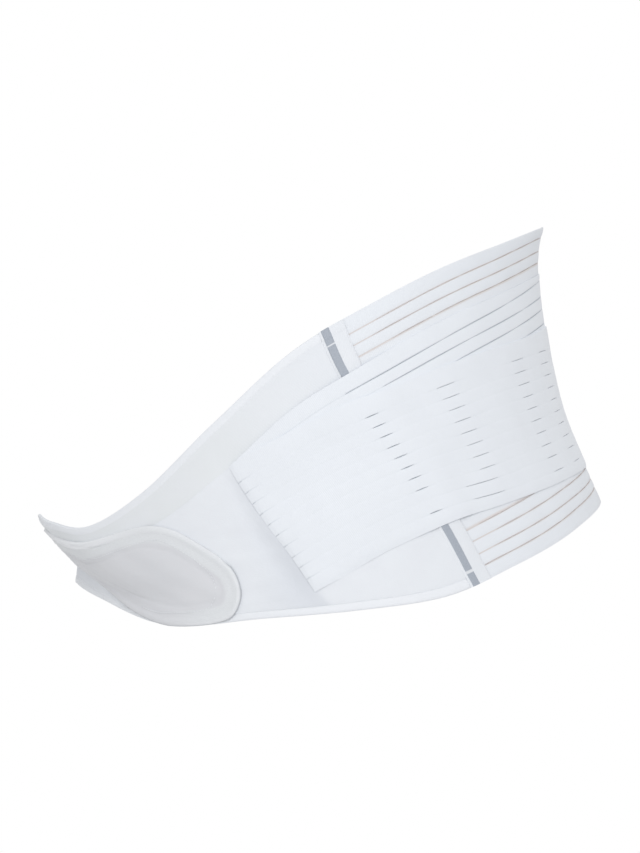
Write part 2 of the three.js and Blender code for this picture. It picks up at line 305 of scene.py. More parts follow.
yarn = add_node(
    tree, "ShaderNodeMix", {"data_type": "RGBA"}, {6: linear("#eaeef4"), 7: linear("#f0f4fa")},
    {0: patches.outputs["Fac"]},
)
# Painted shade of the slits: a cool grey on the straps and a warm grey on the back panel
slit_lip_shade = add_node(
    tree, "ShaderNodeMix", {"data_type": "RGBA"}, {6: linear("#d3d9e0"), 7: linear("#dcd5d3")},
    {0: warm.outputs["Fac"]},
)
yarn_and_lip_shade = add_node(
    tree, "ShaderNodeMix", {"data_type": "RGBA"}, None,
    {0: lip.outputs["Fac"], 6: yarn.outputs[2], 7: slit_lip_shade.outputs[2]},
)
finish_cloth(tree, shader, yarn_and_lip_shade, bump, {
    "Roughness": 0.85, "Specular IOR Level": 0.3, "Sheen Weight": 0.25, "Sheen Roughness": 0.5,
})

SEAM_GAP = 0.4
BACK_WALL = 0.95
BACK_INNER = 0.15
BACK_WAVE = 0.1
BACK_WAVE_LENGTH = 46
BACK_PUFF = 0.28
BACK_COLUMN = 1.9
BACK_SLIT_LENGTH = 30.0
BACK_SLIT_PITCH = 31.5
BACK_SLIT_OPENING = 0.45
CLOSED_SLIT = 0.16
SLIT_TAPER = 0.2
LIP_SHADE_REACH = 0.3
BAND_HEIGHT = 7.0
OPEN_FROM = 0.05
SLIT_MARGIN = 2
# How far the upper edge stands out at the middle of the back, and where that is, across and round the belt
BACK_FLARE = 1.4
FLARE_ACROSS = (0.93, 1.0)
FLARE_ROUND = (0.25, 0.05)
# Slit rows of the back panel: across at the middle of the back and at the side seam, and the shift in mm
back_rows = [
    (0.055, 0.046, 0.0), (0.086, 0.086, 11.0), (0.127, 0.130, 4.0), (0.172, 0.170, 15.0), (0.30, 0.30, 0.0),
    (0.42, 0.42, 0.0), (0.54, 0.54, 0.0), (0.66, 0.66, 0.0), (0.75, 0.75, 0.0),
    (0.872, 0.850, 2.0), (0.914, 0.894, 13.0), (0.964, 0.938, 7.0),
]
# The rows that the straps cover stay closed
HIDDEN_ROWS = (4, 5, 6, 7, 8)
band_profile = (0.0, 0.07, 0.25, 0.5, 0.75, 0.93, 1.0)


def back_panel():
    end = SEAM_ROUND - SEAM_GAP * ROUND_PER_MM
    length = 2 * end / ROUND_PER_MM
    x = np.linspace(-0.5 * length, 0.5 * length, int(length / BACK_COLUMN) + 1)
    round_ = x * ROUND_PER_MM
    per_mm = 1 / height_at(round_)
    drift = smooth_step(0.0, SEAM_ROUND, np.abs(round_))
    rows = [0 * x]
    gaps = [0 * x]
    openings = []
    for k, (at_back, at_seam, shift) in enumerate(back_rows):
        nearest = np.round((x - shift) / BACK_SLIT_PITCH) * BACK_SLIT_PITCH + shift
        opening = lens(x, nearest, 0.5 * BACK_SLIT_LENGTH)
        fits = np.abs(nearest) + 0.5 * BACK_SLIT_LENGTH < 0.5 * length - SLIT_MARGIN
        opening *= fits & (k not in HIDDEN_ROWS)
        openings.append(opening)
        rows.append(at_back + (at_seam - at_back) * drift)
        gaps.append(0.5 * (CLOSED_SLIT + (BACK_SLIT_OPENING - CLOSED_SLIT) * opening) * per_mm)
    rows.append(0 * x + 1)
    gaps.append(0 * x)
    across, across_in, share, slit_cells = banded(rows, gaps)
    cut = slit_cut(openings, slit_cells, across, OPEN_FROM)
    grid_x = spread(x, across)
    grid_round = spread(round_, across)
    y = across / per_mm[:, None]
    sway = BACK_WAVE * ripple(grid_x, y, BACK_WAVE_LENGTH, 0.4)
    flare = smooth_step(*FLARE_ACROSS, across) * smooth_step(*FLARE_ROUND, np.abs(grid_round))
    sway = sway + BACK_FLARE * flare
    outer = BACK_WALL + BACK_PUFF * (puffed(share) - 0.45) + sway
    inner = BACK_INNER + sway
    # Painted shade of the slits along the lip edges of every band, also where the slits stay closed
    lip_shade = np.exp(-((0.5 - np.abs(share - 0.5)) * BAND_HEIGHT / LIP_SHADE_REACH) ** 2) * np.ones_like(across)
    lip_shade[:, 0] = lip_shade[:, -1] = 0
    return cloth_object(
        "back_panel_cloth", grid_round, across, inner, outer, (grid_x, y), slit_elastic, cut,
        marks={"lip": lip_shade, "warm": 1.0}, across_in=across_in,
    )


back = back_panel()
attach(back, "root")
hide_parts("back_panel")

# Front panels
# One layer of sheer, slightly grey knit on each side, from the side seam to its end under the tab.
# Both edges are turned over once into a hem 6 mm wide, which looks whiter because the cloth is double,
# and the hem is held by one row of stitches.
LEFT_PANEL_END = 1.12
RIGHT_PANEL_END = 0.8798
HEM_WIDTH = 6.0
STRAP_TOP_END = 0.607
STRAP_LOW_END = 0.628
HEM_TOP = 1.45
SHEER_TOP = 1.0
PANEL_COLUMN = 2.5
PANEL_WAVE = 0.22
PANEL_WAVE_LENGTH = 60
CALM_EDGE = (4, 20)
HEM_EDGE_LIFT = 0.2
HEM_STITCHES_IN = 5.3
HEM_STITCHES_FROM = SEAM_ROUND + 0.004
HEM_STITCHES_TO = 0.7
HEM_THREAD = 0.25
HEM_THREAD_SUNK = 0.2

# Sheer knit: fine polyamide charmeuse, half open, so that it looks greyer than the doubled cloth, and a
# little bluer near the tape, where it is stretched less
SHEER_PITCH = 0.9
sheer_knit, tree, shader, on_cloth = new_cloth("sheer_charmeuse_knit")
doubled = add_node(tree, "ShaderNodeAttribute", {"attribute_name": "doubled"})
wales = add_node(
    tree, "ShaderNodeTexWave", {"wave_type": "BANDS", "bands_direction": "Y"},
    {"Scale": wave_scale(SHEER_PITCH), "Distortion": 0.8, "Detail": 1.0},
    on_cloth,
)
grain = add_node(tree, "ShaderNodeTexNoise", None, {"Scale": 2.0, "Detail": 2.0}, on_cloth)
patches = add_node(tree, "ShaderNodeTexNoise", None, {"Scale": 0.03, "Detail": 2.0}, on_cloth)
relief = add_node(
    tree, "ShaderNodeMath", {"operation": "MULTIPLY_ADD"}, {1: 0.8},
    {0: grain.outputs["Fac"], 2: wales.outputs["Fac"]},
)
bump = add_node(
    tree, "ShaderNodeBump", None, {"Strength": 0.25, "Distance": 0.00012}, {"Height": relief.outputs[0]}
)
along_panel = add_node(tree, "ShaderNodeSeparateXYZ", None, None, {0: on_cloth["Vector"]})
by_tape = add_node(
    tree, "ShaderNodeMapRange", None, {"From Min": 15.0, "From Max": 110.0, "To Min": 1.0, "To Max": 0.0},
    {"Value": along_panel.outputs["X"]},
)
sheer_tone = add_node(
    tree, "ShaderNodeMix", {"data_type": "RGBA"}, {6: linear("#e7ebed"), 7: linear("#e9edf3")},
    {0: by_tape.outputs["Result"]},
)
single = add_node(
    tree, "ShaderNodeMix", {"data_type": "RGBA"}, {7: linear("#edf0f5")},
    {0: patches.outputs["Fac"], 6: sheer_tone.outputs[2]},
)
layers = add_node(
    tree, "ShaderNodeMix", {"data_type": "RGBA"}, {7: linear("#f0f3f8")},
    {0: doubled.outputs["Fac"], 6: single.outputs[2]},
)
finish_cloth(tree, shader, layers, bump, {
    "Roughness": 0.75, "Specular IOR Level": 0.35, "Sheen Weight": 0.2, "Sheen Roughness": 0.4,
})

# Sewing thread: white polyester, twisted, a little glossier than the cloth
sewing_thread, tree, shader = new_material("white_polyester_thread")
where = add_node(tree, "ShaderNodeTexCoord")
twist = add_node(tree, "ShaderNodeTexNoise", None, {"Scale": 3000.0}, {"Vector": where.outputs["Object"]})
thread_colour = add_node(
    tree, "ShaderNodeMix", {"data_type": "RGBA"}, {6: linear("#e6e9ee"), 7: linear("#f6f7fa")},
    {0: twist.outputs["Fac"]},
)
tree.links.new(thread_colour.outputs[2], shader.inputs["Base Color"])
shader.inputs["Roughness"].default_value = 0.55

# Tree that sets a row of stitches along each line of an edge mesh
stitch_tree = bpy.data.node_groups.new("stitch_row", "GeometryNodeTree")
stitch_tree.interface.new_socket(name="Geometry", in_out="INPUT", socket_type="NodeSocketGeometry")
stitch_sockets = {}
for label, kind in (
    ("Stitch pitch", "NodeSocketFloat"),
    ("Stitch length", "NodeSocketFloat"),
    ("Thread width", "NodeSocketFloat"),
    ("Thread", "NodeSocketMaterial"),
):
    socket = stitch_tree.interface.new_socket(name=label, in_out="INPUT", socket_type=kind)
    stitch_sockets[label] = socket.identifier
stitch_tree.interface.new_socket(name="Geometry", in_out="OUTPUT", socket_type="NodeSocketGeometry")
given = add_node(stitch_tree, "NodeGroupInput")
lines = add_node(stitch_tree, "GeometryNodeMeshToCurve", None, None, {"Mesh": given.outputs["Geometry"]})
points = add_node(
    stitch_tree, "GeometryNodeResampleCurve", {"mode": "LENGTH"}, None,
    {"Curve": lines.outputs["Curve"], "Length": given.outputs["Stitch pitch"]},
)
tangent = add_node(stitch_tree, "GeometryNodeInputTangent")
turned = add_node(
    stitch_tree, "FunctionNodeAlignRotationToVector", {"axis": "Z"}, None, {"Vector": tangent.outputs[0]}
)
bead = add_node(stitch_tree, "GeometryNodeMeshUVSphere", None, {"Segments": 6, "Rings": 5, "Radius": 0.5})
stretch = add_node(
    stitch_tree, "ShaderNodeCombineXYZ", None, None,
    {
        "X": given.outputs["Thread width"], "Y": given.outputs["Thread width"],
        "Z": given.outputs["Stitch length"],
    },
)
placed = add_node(
    stitch_tree, "GeometryNodeInstanceOnPoints", None, None,
    {
        "Points": points.outputs["Curve"], "Instance": bead.outputs["Mesh"],
        "Rotation": turned.outputs["Rotation"], "Scale": stretch.outputs[0],
    },
)
realized = add_node(stitch_tree, "GeometryNodeRealizeInstances", None, None, {"Geometry": placed.outputs[0]})
rounded = add_node(stitch_tree, "GeometryNodeSetShadeSmooth", None, None, {"Geometry": realized.outputs[0]})
threaded = add_node(
    stitch_tree, "GeometryNodeSetMaterial", None, None,
    {"Geometry": rounded.outputs[0], "Material": given.outputs["Thread"]},
)
add_node(stitch_tree, "NodeGroupOutput", None, None, {"Geometry": threaded.outputs[0]})


def stitched(name, paths, pitch=3.0, length=2.3, width=0.45):
    """Rows of stitches along paths of points in millimetres, as one plain mesh that rides on the belt."""
    mesh = bpy.data.meshes.new(name)
    starts = np.cumsum([0] + [len(path) for path in paths])
    edges = [(i, i + 1) for a, b in zip(starts[:-1], starts[1:]) for i in range(a, b - 1)]
    mesh.from_pydata((np.concatenate(paths) * METRES_PER_MM).tolist(), edges, [])
    obj = bpy.data.objects.new(name, mesh)
    bpy.context.scene.collection.objects.link(obj)
    modifier = obj.modifiers.new("stitches", "NODES")
    modifier.node_group = stitch_tree
    modifier[stitch_sockets["Stitch pitch"]] = pitch * METRES_PER_MM
    modifier[stitch_sockets["Stitch length"]] = length * METRES_PER_MM
    modifier[stitch_sockets["Thread width"]] = width * METRES_PER_MM
    modifier[stitch_sockets["Thread"]] = sewing_thread
    evaluated = obj.evaluated_get(bpy.context.evaluated_depsgraph_get())
    result = bpy.data.meshes.new_from_object(evaluated)
    obj.modifiers.clear()
    obj.data = result
    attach(obj, "root")
    return obj


# Lines across a hem: distance in from the edge, height of the outer face in mm, and how white it looks
hem_lines = [
    (0.0, 0.5, 1.0), (0.25, 1.1, 1.0), (0.9, 1.38, 1.0), (2.2, 1.45, 1.0),
    (4.2, 1.43, 1.0), (5.0, 1.36, 1.0), (5.6, 1.22, 0.8), (6.2, 1.08, 0.0),
]
# Light creases between the tab and the strap: from round to round, across at both ends, width, height in mm
front_creases = [
    (0.645, 0.705, 0.228, 0.234, 1.3, 0.65), (0.622, 0.69, 0.35, 0.41, 5.0, 0.6),
    (0.64, 0.72, 0.15, 0.13, 3.0, 0.35), (0.625, 0.68, 0.52, 0.60, 4.0, 0.4),
]
CREASE_SPAN = 150
# How far the layers in front stand out where the tab draws them in, by across, in mm
front_drawn = [
    (0.0, 0.0), (0.12, 0.0), (0.35, -1.1), (0.55, -2.2), (0.7, -1.0), (0.8, 0.1), (0.87, 1.0), (1.0, 1.4),
]
DRAWN_ROUND = (0.74, 0.94)
# Where the strap's end lies across the belt, from its lower to its upper corner
STRAP_END_FROM = 0.12
STRAP_END_SPAN = 0.68
# Valley beside the strap's end: its distance, width and depth in mm, above and how much more below
VALLEY_AWAY = (4, 5)
VALLEY_WIDTH = (3, 5)
VALLEY_DEPTH = (0.8, 2.0)
# Across the belt: where the valley deepens, begins below and ends above
VALLEY_DEEPENS = (0.75, 0.3)
VALLEY_BEGINS = (0.02, 0.2)
VALLEY_ENDS = (0.86, 0.7)


def ahead_of_strap(round_, across):
    """How far in front of the strap's end places lie, in millimetres."""
    up = np.clip((across - STRAP_END_FROM) / STRAP_END_SPAN, 0, 1)
    strap_end = STRAP_LOW_END + (STRAP_TOP_END - STRAP_LOW_END) * up
    return (1 - np.abs(1 - np.abs(round_)) - strap_end) / ROUND_PER_MM


def front_press(round_, across):
    """How far the layers in front stand out, drawn in by the tab and by the strap's pull, in millimetres."""
    fold = 1 - np.abs(1 - np.abs(round_))
    drawn = smooth_step(*DRAWN_ROUND, fold) * along(front_drawn, across)
    ahead = ahead_of_strap(round_, across)
    lower = smooth_step(*VALLEY_DEEPENS, across)
    away, width, depth = [above + more * lower for above, more in (VALLEY_AWAY, VALLEY_WIDTH, VALLEY_DEPTH)]
    beside = np.exp(-(((ahead - away) / width) ** 2)) * smooth_step(*VALLEY_BEGINS, across)
    creased = 0 * beside
    for first, last, at_first, at_last, width, height in front_creases:
        run = (fold - first) / (last - first)
        away = (across - at_first - (at_last - at_first) * run) * CREASE_SPAN / width
        fade = smooth_step(0.0, 0.2, run) * smooth_step(1.0, 0.75, run)
        creased = creased + height * fade * np.exp(-away * away)
    return drawn + creased - depth * beside * smooth_step(*VALLEY_ENDS, across)


def front_panel(word, side, panel_end):
    start = SEAM_ROUND + SEAM_GAP * ROUND_PER_MM
    length = (panel_end - start) / ROUND_PER_MM
    x = np.linspace(0, length, int(length / PANEL_COLUMN) + 1)
    round_ = start + x * ROUND_PER_MM
    height = height_at(round_)[:, None]
    hem_y, hem_z, hem_white = np.array(hem_lines).T
    middle = np.linspace(0, 1, 32)[1:-1]
    first = hem_y[-1]
    between = first + (height - 2 * first) * middle
    y = np.concatenate([hem_y + 0 * height, between, height - hem_y[::-1]], axis=1)
    top = np.concatenate([hem_z, np.full(len(middle), SHEER_TOP), hem_z[::-1]]) + 0 * y
    white = np.concatenate([hem_white, np.zeros(len(middle)), hem_white[::-1]])
    grid_round = spread(round_, y)
    grid_x = spread(x, y)
    across = np.clip(y / height, 0, 1)
    from_edge = np.minimum(y, height - y)
    sway = PANEL_WAVE * ripple(grid_x, y, PANEL_WAVE_LENGTH, 1.1) * smooth_step(*CALM_EDGE, from_edge)
    sway = sway + front_press(grid_round, across)
    inner = HEM_EDGE_LIFT * (from_edge < HEM_EDGE_LIFT) + sway
    return cloth_object(
        f"front_panel_{word}_cloth", grid_round, across, inner, top + sway, (grid_x, y), sheer_knit,
        side=side, marks={"doubled": white},
    )


def edge_path(side, distance_in, offset, from_top):
    """Path along the front panel at a distance in from its lower or upper edge."""
    round_ = np.linspace(HEM_STITCHES_FROM, HEM_STITCHES_TO, 160)
    share = distance_in / height_at(round_)
    return layer_point(side * round_, 1 - share if from_top else share, offset + 0 * round_)


sides = [("left", 1, LEFT_PANEL_END), ("right", -1, RIGHT_PANEL_END)]
for word, side, panel_end in sides:
    panel = front_panel(word, side, panel_end)
    rows = [
        edge_path(side, HEM_STITCHES_IN, HEM_TOP - HEM_THREAD_SUNK, from_top)
        for from_top in (False, True)
    ]
    rows_of_stitches = stitched(f"front_panel_{word}_stitches", rows, width=HEM_THREAD)
    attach(panel, "root")
    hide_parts(f"front_panel_{word}")

# Front facings
# A second cloth on the lower part of each front panel: white loop knit, brushed, which takes the hooks of
# the tab and of the straps. It is laid on the panel inside the hems, and its cut edges are bonded down.
FACING_SETBACK = 0.03
FACING_INSET = 0.1
FACING_UNDER_TAPE = 2.0
FACING_INNER = 1.12
FACING_EDGE = 1.25
FACING_RISE = 0.25
FACING_ROUND = 0.7
# How far in front of the strap's end the painted shade on the pile reaches, in mm, and how much less so
# further up
STRAP_END_SHADE_REACH = 40.0
STRAP_END_SHADE_LESS = 45
STRAP_END_SHADE_FROM = 0.15
TAPE_WIDTH = 17.0
facing_edge = [(0.43, 0.79), (0.5, 0.79), (0.56, 0.793), (0.7, 0.775), (0.85, 0.78), (1.12, 0.78)]

# Loop knit: brushed polyamide loops, milky white, very matt, with an even fine pile. In front of the strap's
# end the pile is painted a little greyer, as painted shade beside the strap's end.
LOOP_SIZE = 0.8
loop_knit, tree, shader, on_cloth = new_cloth("brushed_loop_knit")
pile = add_node(tree, "ShaderNodeTexVoronoi", {"feature": "F1"}, {"Scale": 1 / LOOP_SIZE}, on_cloth)
grain = add_node(tree, "ShaderNodeTexNoise", None, {"Scale": 2.5, "Detail": 2.0}, on_cloth)
brushed = add_node(tree, "ShaderNodeTexNoise", None, {"Scale": 0.05, "Detail": 3.0}, on_cloth)
relief = add_node(
    tree, "ShaderNodeMath", {"operation": "MULTIPLY_ADD"}, {1: -0.8},
    {0: pile.outputs["Distance"], 2: grain.outputs["Fac"]},
)
bump = add_node(
    tree, "ShaderNodeBump", None, {"Strength": 0.35, "Distance": 0.00015}, {"Height": relief.outputs[0]}
)
loops = add_node(
    tree, "ShaderNodeMix", {"data_type": "RGBA"}, {6: linear("#e8ebf1"), 7: linear("#eff3f8")},
    {0: brushed.outputs["Fac"]},
)
# Painted shade on the pile in front of the strap's end
strap_end_shade = add_node(tree, "ShaderNodeAttribute", {"attribute_name": "strap_end_shade"})
pile_and_shade = add_node(
    tree, "ShaderNodeMix", {"data_type": "RGBA"}, {7: linear("#dfe3ea")},
    {0: strap_end_shade.outputs["Fac"], 6: loops.outputs[2]},
)
finish_cloth(tree, shader, pile_and_shade, bump, {
    "Roughness": 0.92, "Specular IOR Level": 0.25, "Sheen Weight": 0.12, "Sheen Roughness": 0.6,
})


def front_facing(word, side, panel_end):
    start = SEAM_ROUND + (0.5 * TAPE_WIDTH - FACING_UNDER_TAPE) * ROUND_PER_MM
    length = (panel_end - FACING_SETBACK - start) / ROUND_PER_MM
    x = np.linspace(0, length, int(length / PANEL_COLUMN) + 1)
    round_ = start + x * ROUND_PER_MM
    height = height_at(round_)[:, None]
    low = HEM_WIDTH + FACING_INSET
    high = along(facing_edge, round_)[:, None] * height
    shares = np.concatenate([[0, 0.004, 0.012], np.linspace(0.03, 0.97, 34), [0.988, 0.996, 1]])
    y = low + (high - low) * shares
    edge = np.minimum(y - low, high - y)
    grid_x = spread(x, y)
    grid_round = spread(round_, y)
    across = y / height
    sway = PANEL_WAVE * ripple(grid_x, y, PANEL_WAVE_LENGTH, 1.1) * smooth_step(*CALM_EDGE, y)
    sway = sway + front_press(grid_round, across)
    outer = FACING_EDGE + FACING_RISE * (1 - np.exp(-edge / FACING_ROUND)) + sway
    inner = FACING_INNER + sway
    # Painted shade on the pile in front of the strap's end, reaching less far further up
    ahead = ahead_of_strap(grid_round, across)
    higher = STRAP_END_SHADE_LESS * np.clip(across - STRAP_END_SHADE_FROM, 0, 1)
    strap_end_shade = smooth_step(STRAP_END_SHADE_REACH, 5, ahead + higher)
    strap_end_shade = strap_end_shade * smooth_step(-5, 1, ahead)
    return cloth_object(
        f"front_facing_{word}_cloth", grid_round, across, inner, outer, (grid_x, y), loop_knit,
        side=side, marks={"strap_end_shade": strap_end_shade},
    )


for word, side, panel_end in sides:
    facing = front_facing(word, side, panel_end)
    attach(facing, "root")
    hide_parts(f"front_facing_{word}")

# Seam tapes
# A white woven tape 17 mm wide covers each side seam from edge to edge and hides the butted ends of the
# two panels. A row of stitches shows along its rear side. A narrow grey ribbon, woven of a firmer yarn, is
# sewn on the front part of it.
TAPE_INNER = 1.5
TAPE_OUTER = 2.05
STRIP_WIDTH = 5.4
STRIP_INSET = 1.7
STRIP_INNER = 2.1
STRIP_OUTER = 2.4
# Light breaks of the grey ribbon: across, and half their width in mm
STRIP_BREAKS = ((0.05, 0.8), (0.937, 0.45))
RIBBON_WAVE = 0.06
RIBBON_WAVE_LENGTH = 22
TAPE_STITCHES_IN = 1.1
TAPE_THREAD = 0.2
THREAD_SUNK = 0.07
# Above the facing's upper edge the tape lies lower, on the sheer knit alone
FACING_STOPS = (0.795, 0.805)
SHEER_SINK = 0.25
FRONT_SINK = 0.2

# Woven tape: white polyester in a plain twill, smooth and a little satiny
TWILL_PITCH = 1.0
woven_tape, tree, shader, on_cloth = new_cloth("white_twill_tape")
diagonal = add_node(
    tree, "ShaderNodeTexWave", {"wave_type": "BANDS", "bands_direction": "DIAGONAL"},
    {"Scale": wave_scale(TWILL_PITCH), "Distortion": 0.3}, on_cloth,
)
wear = add_node(tree, "ShaderNodeTexNoise", None, {"Scale": 0.08}, on_cloth)
bump = add_node(
    tree, "ShaderNodeBump", None, {"Strength": 0.35, "Distance": 0.00012}, {"Height": diagonal.outputs["Fac"]}
)
tape_yarn = add_node(
    tree, "ShaderNodeMix", {"data_type": "RGBA"}, {6: linear("#e7ebf1"), 7: linear("#eff2f7")},
    {0: wear.outputs["Fac"]},
)
finish_cloth(tree, shader, tape_yarn, bump, {"Roughness": 0.6, "Specular IOR Level": 0.4})

# Grey ribbon: polyester in plain weave with fine cross ribs, cool grey, with a soft satin light
RIBBON_PITCH = 0.7
grey_ribbon, tree, shader, on_cloth = new_cloth("grey_plain_ribbon")
break_mark = add_node(tree, "ShaderNodeAttribute", {"attribute_name": "light_break"})
cross_ribs = add_node(
    tree, "ShaderNodeTexWave", {"wave_type": "BANDS", "bands_direction": "Y"},
    {"Scale": wave_scale(RIBBON_PITCH), "Distortion": 0.3}, on_cloth,
)
fade = add_node(tree, "ShaderNodeTexNoise", None, {"Scale": 1.4, "Detail": 2.0}, on_cloth)
bump = add_node(
    tree, "ShaderNodeBump", None, {"Strength": 0.4, "Distance": 0.00012},
    {"Height": cross_ribs.outputs["Fac"]},
)
grey_yarn = add_node(
    tree, "ShaderNodeMix", {"data_type": "RGBA"}, {6: linear("#959eac"), 7: linear("#bfc5ce")},
    {0: fade.outputs["Fac"]},
)
broken = add_node(
    tree, "ShaderNodeMix", {"data_type": "RGBA"}, {7: linear("#e4e7ec")},
    {0: break_mark.outputs["Fac"], 6: grey_yarn.outputs[2]},
)
finish_cloth(tree, shader, broken, bump, {"Roughness": 0.55})


def ribbon(name, side, middle, width, low, high, material, breaks=()):
    """Flat ribbon from edge to edge of the belt, centred at middle, its faces low and high over the body."""
    offsets = np.array([-0.5, -0.47, -0.4, -0.2, 0, 0.2, 0.4, 0.47, 0.5]) * width
    rim = np.array([0.1, 0.6, 1, 1, 1, 1, 1, 0.6, 0.1])
    round_ = middle + offsets * ROUND_PER_MM
    height = height_at(round_)[:, None]
    shares = np.concatenate([[0, 0.003], np.linspace(0.01, 0.99, 400), [0.997, 1]])
    y = shares * height
    grid_round = spread(round_, y)
    grid_x = spread(offsets, y)
    sway = RIBBON_WAVE * ripple(y, grid_x, RIBBON_WAVE_LENGTH, 0.7)
    on_sheer = smooth_step(HEM_WIDTH, HEM_WIDTH + 1.5, height - y) * smooth_step(*FACING_STOPS, y / height)
    sway = sway - on_sheer * (SHEER_SINK + FRONT_SINK * smooth_step(0.2, 0.45, grid_x / TAPE_WIDTH))
    outer = low + (high - low) * rim[:, None] + sway
    light = 0 * y
    for place, half in breaks:
        light = light + smooth_step(half + 0.25, half - 0.15, np.abs(y - place * height))
    return cloth_object(
        name, grid_round, y / height, low + sway, outer, (grid_x, y), material,
        side=side, marks={"light_break": light},
    )


for word, side, panel_end in sides:
    tape = ribbon(
        f"seam_tape_{word}_woven", side, SEAM_ROUND, TAPE_WIDTH, TAPE_INNER, TAPE_OUTER, woven_tape
    )
    strip_middle = SEAM_ROUND + (0.5 * TAPE_WIDTH - STRIP_INSET - 0.5 * STRIP_WIDTH) * ROUND_PER_MM
    strip = ribbon(
        f"grey_strip_{word}_ribbon", side, strip_middle, STRIP_WIDTH, STRIP_INNER, STRIP_OUTER, grey_ribbon,
        breaks=STRIP_BREAKS,
    )
    row_across = np.linspace(0.01, 0.99, 80)
    row_round = SEAM_ROUND + (TAPE_STITCHES_IN - 0.5 * TAPE_WIDTH) * ROUND_PER_MM + 0 * row_across
    row_height = TAPE_OUTER - THREAD_SUNK - SHEER_SINK * smooth_step(*FACING_STOPS, row_across)
    tape_row = layer_point(side * row_round, row_across, row_height)
    tape_stitches = stitched(f"seam_tape_{word}_stitches", [tape_row], width=TAPE_THREAD)
    for piece, node, slot in (
        (tape, f"seam_tape_{word}", "woven_tape"),
        (strip, f"grey_strip_{word}", "grey_ribbon"),
    ):
        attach(piece, "root")
        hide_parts(node)

# Side straps
# Each strap is a slit elastic in two leaves, sewn together at the middle of the back. The broad main leaf
# fans out forward over the tape and hooks on to the front facing. The upper leaf comes out from under it
# and runs back along its upper edge. Stretched over the tape, their slits open into small lenses.
STRAP_START = 0.0006
STRAP_COLUMN = 1.35
STRAP_WALL = 0.8
STRAP_PUFF = 0.1
STRAP_SLIT_OPENING = 0.85
STRAP_CLOSED_SLIT = 0.13
LEAF_LAP = 0.45
TICK_OPENING = 0.09
# Strength of the painted shade along a slit's line beyond its open part
SLIT_SHADE_STREAK = 0.5
STRAP_OPEN_FROM = 0.08
STRAP_SWAY = 0.35
EDGE_SINK = 0.32
EDGE_THIN = 0.7
EDGE_WIDTH = 2.6
STRAP_ON_PANEL = 1.35
STRAP_ON_FACING = 1.9
STRAP_ON_TAPE = 2.65
# Round the belt: where the strap rises on to the tape, leaves it, and comes to lie on the facing
ON_TO_TAPE = (0.385, 0.425)
OFF_TAPE = (0.455, 0.50)
ON_TO_FACING = (0.44, 0.46)
# Lower and upper edge of the strap by round, as shares across the belt
strap_low = [
    (0.0, 0.125), (0.2, 0.15), (0.35, 0.188), (0.45, 0.222), (0.53, 0.213), (0.6, 0.155), (0.64, 0.11),
]
strap_high = [
    (0.0, 0.83), (0.2, 0.826), (0.35, 0.824), (0.45, 0.814), (0.53, 0.815), (0.6, 0.79), (0.64, 0.765),
]
# How far the main leaf has fanned out, by round
leaf_fan = [
    (0.0, 0.858), (0.2, 0.922), (0.35, 0.97), (0.45, 1.0),
    (0.5, 1.03), (0.55, 1.09), (0.607, 1.19), (0.63, 1.21),
]
# How far the rows of the main leaf sag behind the tape, as a share of the strap
leaf_sag = [(0.0, -0.02), (0.2, -0.024), (0.341, -0.021), (0.42, -0.007), (0.47, 0.0), (0.63, 0.0)]
# Upper edge of the main leaf, as a share of the strap, before it fans out
leaf_edge = [
    (0.0, 0.847), (0.145, 0.806), (0.314, 0.805), (0.415, 0.824), (0.458, 0.85), (0.52, 0.84), (0.63, 0.836),
]
# Rows of the main leaf as shares of the strap, and its slits: where round the belt their middle lies, half
# their length in mm, and how far they open
leaf_rows = [0.088, 0.165, 0.234, 0.306, 0.377, 0.447, 0.517, 0.588, 0.657, 0.726]
leaf_slits = [(0.4465, 4.5, 0.58), (0.345, 8.0, 0.31), (0.2, 10.0, 0.27), (0.1, 14.0, 0.25)]
# The row without a slit on the tape, and the lowest rows, whose slit behind the tape is longer
ON_TAPE = 0
BEHIND_TAPE = 1
UNSLIT_ROW = 1
LONG_ROWS = (0, 1)
LONGER = 2.0
LONG_SHIFT = 0.02
# How far beyond its slit the painted shade of the slit's line reaches, as times its half length
SHADE_STREAK_REACH = 2.6
# In from the strap's front end, in mm: where its short ticks open, and where the slit rows begin to be
# painted darker, as painted shade of the closed slits
TICK_FROM_END = (5.5, 1.5)
SHADE_STREAK_FROM_END = (13, 3)
# Rows of the upper leaf: across at the middle of the back and at the tape, and where the row starts
upper_rows = [(0.655, 0.632, 0.15), (0.708, 0.672, 0.315), (0.752, 0.717, 0.415), (0.814, 0.757, 0.456)]
UPPER_SLIT_LENGTH = 74.0
UPPER_SLIT_OPENING = 0.45
UPPER_LEAF_LAP = 6.5
UPPER_LEAF_END = 0.965
UPPER_LEAF_SINK = 0.15
UPPER_LEAF_WALL = 0.55
UPPER_LEAF_PUFF = 0.15
# Least height of a band of the upper leaf in mm, and of its last one
LEAST_BAND = 0.9
LEAST_EDGE = 1.5


def strap_base(round_):
    """Distance of the strap's inner face: it lies on the panels and is lifted over tape and ribbon."""
    lift = smooth_step(*ON_TO_TAPE, round_) * (1 - smooth_step(*OFF_TAPE, round_))
    on_facing = smooth_step(*ON_TO_FACING, round_)
    resting = STRAP_ON_PANEL + (STRAP_ON_FACING - STRAP_ON_PANEL) * on_facing
    return resting + (STRAP_ON_TAPE - resting) * lift


def strap_columns():
    """Shares of the strap's length at its columns, where it ends round the belt, and its length in mm."""
    end = 0.5 * (STRAP_TOP_END + STRAP_LOW_END)
    length = (end - STRAP_START) / ROUND_PER_MM
    return np.linspace(0, 1, int(length / STRAP_COLUMN) + 1), end, length


